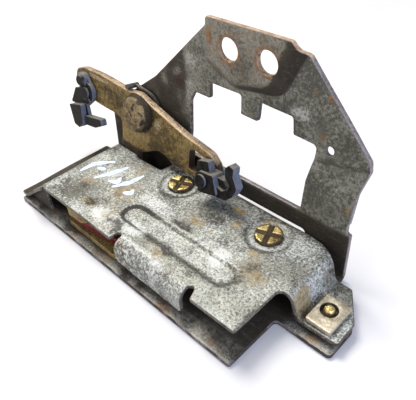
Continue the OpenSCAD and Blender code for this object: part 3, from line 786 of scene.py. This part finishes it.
def cover_stain(p, n):
    x, y, z = p
    # Painted shade on undersides, back faces and the ramp's front wall.
    if n.z < -0.5 or (n.y > 0.3 and z < 13) or (n.y < -0.9 and x < 20):
        return 0.8, 0.1, 0.0
    dish = nearest(x, y, DISHES)
    rib = to_segment((x, y), *RIB_ENDS)
    # Painted shade on the walls of the dishes and the rib.
    groove_shade = smooth(dish, 6.6, 8.0) * (1 - smooth(dish, 8.4, 10.2))
    rib_wall_shade = smooth(rib, 3.2, 4.0) * (1 - smooth(rib, 5.0, 6.0))
    roll = (1 - smooth(y, 5, 9)) * smooth(x, 62, 64) * (1 - smooth(x, 97, 99))
    ramp = (1 - smooth(z, 8, 14)) * (1 - smooth(x, 14, 20))
    left = (1 - smooth(x, 22, 62)) * (1 - smooth(y, 12, 34))
    # Dirt, with painted shade on the dish and rib walls and along the back edge beside the upright.
    grime = most(blots(x, y, COVER_GRIME_AND_SHADE), groove_shade * 0.58, rib_wall_shade * (0.8 - 0.3 * smooth(x, 58, 70)),
                 roll * (0.56 - 0.2 * smooth(x, 80, 92)), 0.45 * smooth(y, 45, 49), 0.9 * ramp, 0.5 * left,
                 0.3 * smooth(x, 119, 124), 0.26 + 0.5 * ripple(p, 6, 1))
    ochre = most(blots(x, y, COVER_OCHRE), 0.5 * ramp, 0.35 * left, 0.5 * roll * (1 - smooth(x, 66, 82)),
                 0.24 + 0.5 * ripple(p, 10, 4))
    # Oxide, and on the floors of the dishes and the rib a paler tone painted for the light they catch.
    oxide = most(blots(x, y, COVER_OXIDE), 0.78 * roll * (1 - smooth(x, 80, 92)),
                 0.3 * (1 - smooth(rib, 2.6, 3.6)), 0.38 * (1 - smooth(dish, 6.6, 7.2)),
                 0.22 + 0.28 * ripple(p, 11, 5))
    return grime, ochre, oxide


def cover_edge_stain(p, n):
    return 0.25 + 0.3 * smooth(ripple(p, 4), 0, 0.4), 0.15, 0.35


def dish_ring(centre, r):
    return circle((COVER_FACE.length(0, centre[0]), centre[1]), r, 44)


def rib_ring(r):
    left, right = (COVER_FACE.length(0, x) for x, y in RIB_ENDS)
    return rounded([[left - r, RIB_Y - r, r], [right + r, RIB_Y - r, r], [right + r, RIB_Y + r, r],
                    [left - r, RIB_Y + r, r]], step=0.9)


def wall_place(x, z):
    """The wall that closes the ramp's front side."""
    return Vector((x, WALL_Y, z)), Vector((0, -1, 0))


WALL_FLAT = rounded([[2.4, 2.8], [19, 2.8], [19, 13.3, 0.5], [15.6, 13.1, 1], [3, 3.8]])
cover = Build()
cover.plate(COVER_FLAT, cover_place, COVER_T, paint=cover_stain, edge_paint=cover_edge_stain,
            extra=[dish_ring(d, r) for d in DISHES for r in (6.5, 7.3, 8.1, 8.9)]
            + [rib_ring(r) for r in (3.3, 4.0, 4.7, 5.4)])
cover.plate(WALL_FLAT, wall_place, COVER_T, paint=cover_stain, edge_paint=cover_edge_stain)
cover.finish("cover_pressing", [MATS["cover"], MATS["cover_edge"]], "frame", "galvanised_cover",
             ["casing_cover"])

PAINT_T, PAINT_RISE, STROKE_WIDTH = 0.12, 0.14, 2.4
STROKES = [[(20, 19.5), (20.6, 26, 3), (26, 33)], [(28.5, 20.5), (31.5, 27, 3), (33.5, 34)],
           [(38.6, 21.5), (42, 28, 3), (43, 34.5)], [(24, 25.5), (27.4, 26.8)],
           [(34.5, 23), (38, 25, 1), (36.6, 27.6)], [(44.8, 22.2), (47.6, 23.8, 1), (46.4, 26)]]


def brush(points, width):
    """The outline of a brush stroke along a line, narrower towards its ends and with a ragged width."""
    line = rounded(points, closed=False, chord=0.4, step=0.7)
    left, right = [], []
    for i, p in enumerate(line):
        way = (line[min(i + 1, len(line) - 1)] - line[max(i - 1, 0)]).normalized()
        share = math.sin(math.pi * (0.12 + 0.76 * i / (len(line) - 1)))
        half = width / 2 * share * (1 + 0.3 * ripple((p.x, p.y, 0), 1.7))
        left.append(p + Vector((-way.y, way.x)) * half)
        right.append(p - Vector((-way.y, way.x)) * half)
    return left + right[::-1]


def painted(s, y):
    at, normal = cover_place(s, y)
    return at + normal * PAINT_RISE, normal


marks = Build()
for stroke in STROKES:
    marks.plate(brush(along(stroke), STROKE_WIDTH), painted, PAINT_T, step=0.8, edge=0.04, edge_mat=0)
marks.finish("paint_marks", [MATS["paint"]], "frame", "galvanised_cover")


# ---------------------------------------------------------------- pins

CROSS_TURN = math.radians(20)
PIN_R, PIN_RISE, PIN_WEDGE = 5.03, 1.7, 0.22
CROSS_HALF, CROSS_DEPTH = 0.9, 0.62
PIN_FLOOR = COVER_TOP - DISH_DEPTH - 0.1
FOOT_R, FOOT_Z = 3.4, 0.35
DOWN_AXES = (Vector((1, 0, 0)), Vector((0, -1, 0)), Vector((0, 0, -1)))


def to_cross(r, a):
    """Distances from a point of the head to the two slots of the cross."""
    return abs(r * math.sin(a - CROSS_TURN)), abs(r * math.cos(a - CROSS_TURN))


def pin_height(r, a):
    slot = min(to_cross(r, a))
    wedge = PIN_WEDGE * smooth(r, 0, PIN_R * 0.8)
    edge = 0.3 * smooth(r, PIN_R - 0.7, PIN_R)
    cut = CROSS_DEPTH * (1 - smooth(slot, CROSS_HALF - 0.25, CROSS_HALF + 0.25))
    ridge = 0.3 * (1 - smooth(slot, 0.05, 0.22))
    return PIN_RISE - PIN_WEDGE + wedge - edge - cut + ridge


def pin_stain(centre):
    """The stain function of the pin at centre: painted shade in the cross, round the side and down in the
    dish.
    """
    def stain(p, n):
        x, y = p[0] - centre[0], p[1] - centre[1]
        r = math.hypot(x, y)
        slot = min(to_cross(r, math.atan2(y, x)))
        cut = (1 - smooth(slot, CROSS_HALF - 0.1, CROSS_HALF + 0.3)) * (0.5 + 0.5 * smooth(slot, 0, 0.15))
        side = smooth(r, PIN_R - 0.6, PIN_R)
        low = 1 - smooth(p[2], COVER_TOP + 0.1, COVER_TOP + 0.6)
        return most(cut * 0.95, side * 0.8, low), 0.0, 0.0
    return stain


def foot_height(r, a):
    return 0.3 - 0.2 * (r / FOOT_R) ** 2


for pin_name, centre in (("claw_pivot_pin", CLAW_PIN), ("pawl_pivot_pin", PAWL_PIN)):
    pin = Build()
    pin.polar((*centre, PIN_FLOOR), pin_height, PIN_R, rings=26, spokes=96,
              depth=PIN_FLOOR - FRAME_T - 0.1, paint=pin_stain(centre))
    pin.polar((*centre, FOOT_Z), foot_height, FOOT_R, rings=6, spokes=32, axes=DOWN_AXES, depth=1.0)
    pin.finish(pin_name + "_staked", [MATS["brass"]], "frame", "pin_brass", [pin_name], sharp=50)


# ---------------------------------------------------------------- tab plate and its rivet

TAB_FLAT = rounded([[128.4, 25.8, 0.6], [137.5, 25.8, 0.6], [137.5, 38, 0.6], [128.4, 38, 0.6]])
TAB_TOP, TAB_T, TAB_HOLE_R = 7.05, 1.7, 3.0
DOME_R, DOME_BASE = 1.72, 5.3


def tab_place(x, y):
    return Vector((x, y, TAB_TOP + 0.1 * ripple((x, y, 0), 4))), Vector((0, 0, 1))


def tab_stain(p, n):
    # Dirt, with painted shade on the plate's underside.
    return most(0.2 + 0.3 * ripple(p, 3), 0.6 * (n.z < 0)), 0.25 + 0.3 * ripple(p, 4, 3), 0.1


def dome(r, a):
    return 2.95 - 0.9 * (r / 1.75) ** 3 + 0.06 * math.sin(3 * a)


tab = Build()
tab.plate(TAB_FLAT, tab_place, TAB_T, holes=[circle(TAB_PIN, TAB_HOLE_R, 30)], paint=tab_stain, edge=0.12,
          edge_mat=0)
tab.finish("tab_square_plate", [MATS["tab"]], "frame", "tab_steel", ["tab_plate"])
rivet = Build()
rivet.polar((*TAB_PIN, DOME_BASE), dome, DOME_R, rings=10, spokes=36, depth=5.0)
rivet.finish("tab_rivet_dome", [MATS["brass"]], "frame", "pin_brass", ["tab_rivet"])


# ---------------------------------------------------------------- lever

UPRIGHT = Vector((0, math.sin(TILT), math.cos(TILT)))
OUT = Vector((0, -math.cos(TILT), math.sin(TILT)))
LEVER_FOOT = Vector((0, LEVER_Y, COVER_TOP))
LEVER_FLAT = rounded(
    [[-15, 25.2, 3], [-9.7, 26.6, 6], [2.2, 26.8, 8], [22.7, 25.5, 6], [27.2, 26.3, 6], [35.3, 23.8, 8],
     [55.8, 18.3], [69.3, 15.9, 3], [73, 12.8, 3], [75.2, 6.5, 3], [73.6, 3.4, 1.5], [59, 3.3],
     [54.4, 3.5, 3], [49.7, 3.2, 3], [45.4, 5.6, 3], [40.5, 5.8, 4], [36.8, 4, 4], [32.2, 1.6, 3],
     [28, 0.6, 1], [28, -9.6, 1], [17.4, -9.6, 1], [17.4, 6.5, 3], [16.7, 11.8, 2], [11.8, 12.7, 4],
     [-0.6, 13.2, 4], [-15.2, 16.4, 3.6], [-16.4, 21.2, 4]])
LEVER_WINDOW = rounded([[59.3, 6, 0.8], [66.4, 6, 0.8], [66.4, 13.4, 0.8], [58.8, 14.6, 0.8]])
STUD_HOLE_R, RIVET_HOLE_R = 2.25, 3.6


def on_lever(x, v, off):
    """The point at (x, v) on the lever's front face, moved out to the front by off."""
    return Vector((x, LEVER_Y, COVER_TOP)) + UPRIGHT * v + OUT * off


def lever_place(x, v):
    return on_lever(x, v, 0.25 * ripple((x, v, 0), 12)), OUT


def on_plane(p):
    """A point's (x, v) in the lever's plane."""
    away = Vector(p) - LEVER_FOOT
    return away.x, away.dot(UPRIGHT)


LEVER_GRIME = [((7, 21), (14, 2.6), 0.55), ((16, 18), (6, 4), 0.5), ((52, 5), (7, 2), 0.7),
               ((-9, 19), (5, 4), 0.5)]
# Oxide patches; the last one is a painted highlight along the lever's top front edge.
LEVER_OXIDE_AND_HIGHLIGHT = [((40, 17), (3, 3), 0.5), ((36, 19), (2, 2), 0.4), ((0, 24.6), (18, 1.2), 0.55)]


def lever_stain(p, n):
    x, v = on_plane(p)
    oily = 1 - smooth(math.hypot(x - LEVER_PIVOT[0], v - LEVER_PIVOT[1]), 7.5, 10.5)
    # Dirt and an oily patch round the pivot; painted shade along the low edge by the cover and on the back
    # face.
    low = 1 - smooth(v, 1, 4)
    grime = most(blots(x, v, LEVER_GRIME), oily * 0.7, low * 0.95, 0.22 + 0.4 * ripple(p, 7, 6),
                 0.5 * (n.y > 0))
    return grime, 0.3 + 0.4 * ripple(p, 9, 8), blots(x, v, LEVER_OXIDE_AND_HIGHLIGHT)


def lever_edge_stain(p, n):
    x, v = on_plane(p)
    # Painted light on the cut edge: shade on the low edges, paler on the top edges.
    top = smooth(v, 12, 15)
    return most(0.9 * (1 - top), 0.15 + 0.5 * ripple(p, 4, 2), (x > 66) * 0.3), 0.2, 0.3 * top


lever = Build()
lever.plate(LEVER_FLAT, lever_place, LEVER_T,
            holes=[LEVER_WINDOW, circle(LEFT_STUD, STUD_HOLE_R, 24), circle(RIGHT_STUD, STUD_HOLE_R, 24),
                   circle(LEVER_PIVOT, RIVET_HOLE_R)],
            edge=0.45, paint=lever_stain, edge_paint=lever_edge_stain)
lever.finish("lever_plate", [MATS["lever"], MATS["lever_edge"]], "lever", "lever_gold", ["release_lever"])


# ---------------------------------------------------------------- lever rivet

RIVET_R, RIVET_BASE, RIVET_TOP = 7.6, 0.15, 4.2
SHANK_R, BACK_HEAD_R = 3.5, 5.0
ARM_GAP = 5.74
LEVER_AXES = (Vector((1, 0, 0)), UPRIGHT, OUT)
BACK_AXES = (Vector((1, 0, 0)), -UPRIGHT, -OUT)


def hammered(r, a):
    """The front head: beaten uneven, with a raised lip and a rounded edge."""
    p = (r * math.cos(a), r * math.sin(a), 0)
    blows = 0.3 * ripple(p, 2.6, 3) + 0.18 * ripple(p, 1.2, 9)
    lip = 0.28 * smooth(r, 4.8, 6.0) * (1 - smooth(r, 6.2, 6.9)) * (0.4 + math.cos(a + 0.7))
    return RIVET_TOP - RIVET_BASE - 0.45 + blows + lip - 1.7 * smooth(r, 6.1, RIVET_R + 0.1)


def back_head(r, a):
    return 1.6 - 1.1 * (r / BACK_HEAD_R) ** 3


def shank_end(r, a):
    return 0.0


def rivet_stain(p, n):
    x, v = on_plane(p)
    r = math.hypot(x - LEVER_PIVOT[0], v - LEVER_PIVOT[1])
    pits = smooth(ripple(p, 1.8, 5), 0.12, 0.4)
    # Pits, and a painted shadow round the head's edge.
    grime = most(pits * 0.75, smooth(r, 6.6, 7.4) * 0.9)
    return grime, 0.3 + 0.5 * ripple(p, 3, 1), 0.25 * smooth(r, 4.5, 6.0)


front = on_lever(*LEVER_PIVOT, RIVET_BASE)
back = on_lever(*LEVER_PIVOT, -ARM_GAP - FRAME_T)
head = Build()
head.polar(front, hammered, RIVET_R, rings=24, spokes=84, axes=LEVER_AXES, depth=0.05, paint=rivet_stain)
head.polar(back, back_head, BACK_HEAD_R, rings=10, spokes=40, axes=BACK_AXES, depth=0.05, paint=rivet_stain)
head.polar(front, shank_end, SHANK_R, rings=2, spokes=36, axes=LEVER_AXES,
           depth=ARM_GAP + RIVET_BASE + FRAME_T, paint=rivet_stain)
head.finish("lever_rivet_peened", [MATS["rivet"]], "frame", "rivet_steel", ["lever_rivet"], sharp=60)


# ---------------------------------------------------------------- CAD nodes that stay

REPLACED = {"mounting_frame", "casing_cover", "claw_pivot_pin", "pawl_pivot_pin", "tab_plate", "tab_rivet",
            "release_lever", "lever_rivet"}
NODE_SLOTS = {part["node"]: part["material_slot"] for part in frame["record"]["subparts"]}
# Bevel widths by slot, in millimetres.
BEVELS = {"dark_plastic": 0.45, "gold_steel": 0.3, "red_liner": 0.3}
THIN_BEVEL = 0.12
for name, obj in frame["nodes"].items():
    if name in REPLACED:
        continue
    obj.data.materials.clear()
    obj.data.materials.append(MATS[NODE_SLOTS[name]])
    weld = obj.modifiers.new("weld", "WELD")
    weld.merge_threshold = 0.01 * MM
    bevel = obj.modifiers.new("bevel", "BEVEL")
    bevel.width = BEVELS.get(NODE_SLOTS[name], THIN_BEVEL) * MM
    bevel.segments = 2
    bevel.limit_method = "ANGLE"
    bevel.angle_limit = math.radians(40)
    bevel.harden_normals = True


# ---------------------------------------------------------------- floor, light and camera

FLOOR_HALF_METRES = 3
floor_mesh = bpy.data.meshes.new("floor")
corners = [(x * FLOOR_HALF_METRES, y * FLOOR_HALF_METRES, 0) for x, y in ((-1, -1), (1, -1), (1, 1), (-1, 1))]
floor_mesh.from_pydata(corners, [], [(0, 1, 2, 3)])
floor = bpy.data.objects.new("floor", floor_mesh)
floor.location.z = -0.05 * MM
bpy.context.collection.objects.link(floor)
paper = Shader("floor_paper", 53)
tint = paper.mix(paper.ramp(paper.noise(60, 2), 0.3, 0.7), rgb(0.55, 0.535, 0.525), rgb(0.60, 0.585, 0.575))
floor_mesh.materials.append(paper.finish(tint, 0.8, 0.0, paper.noise(3, 3), 0.02))

world = bpy.data.worlds.new("studio")
bpy.context.scene.world = world
world.use_nodes = True
world.node_tree.nodes["Background"].inputs["Color"].default_value = rgb(0.93, 0.95, 1.0)
world.node_tree.nodes["Background"].inputs["Strength"].default_value = 0.62

# A name, a place and a size in millimetres, watts and a colour for each square area light.
SOFTBOXES = [("key", (-230, 130, 620), 300, 6.2, (1.0, 0.985, 0.95)),
             ("fill", (-260, -470, 330), 500, 1.7, (1.0, 0.97, 0.92)),
             ("window", (620, -60, 230), 350, 3.5, (0.6, 0.7, 1.0))]
LIT_POINT = (65, 30, 20)
for name, where, size, power, colour in SOFTBOXES:
    light = bpy.data.lights.new(name, "AREA")
    light.size = size * MM
    light.energy = power
    light.color = colour
    lamp = bpy.data.objects.new(name, light)
    lamp.location = to_frame(where)
    lamp.rotation_euler = (to_frame(LIT_POINT) - to_frame(where)).to_track_quat("-Z", "Y").to_euler()
    bpy.context.collection.objects.link(lamp)

# The photograph's camera: its place, its turn in degrees, and its lens.
CAMERA_AT = (177.119, -58.339, 134.221)
CAMERA_TURN = (49.686, 3.103, 44.443)
CAMERA_LENS = 43.113
CAMERA_SHIFT = (0.00904, 0.00823)
camera_data = bpy.data.cameras.new("camera")
camera_data.sensor_width = 36
camera_data.lens = CAMERA_LENS
camera_data.shift_x, camera_data.shift_y = CAMERA_SHIFT
camera_data.clip_start = 0.01
camera = bpy.data.objects.new("camera", camera_data)
camera.location = to_frame(CAMERA_AT)
camera.rotation_euler = [math.radians(a) for a in CAMERA_TURN]
bpy.context.collection.objects.link(camera)
bpy.context.scene.camera = camera
bpy.context.scene.view_settings.view_transform = "Standard"
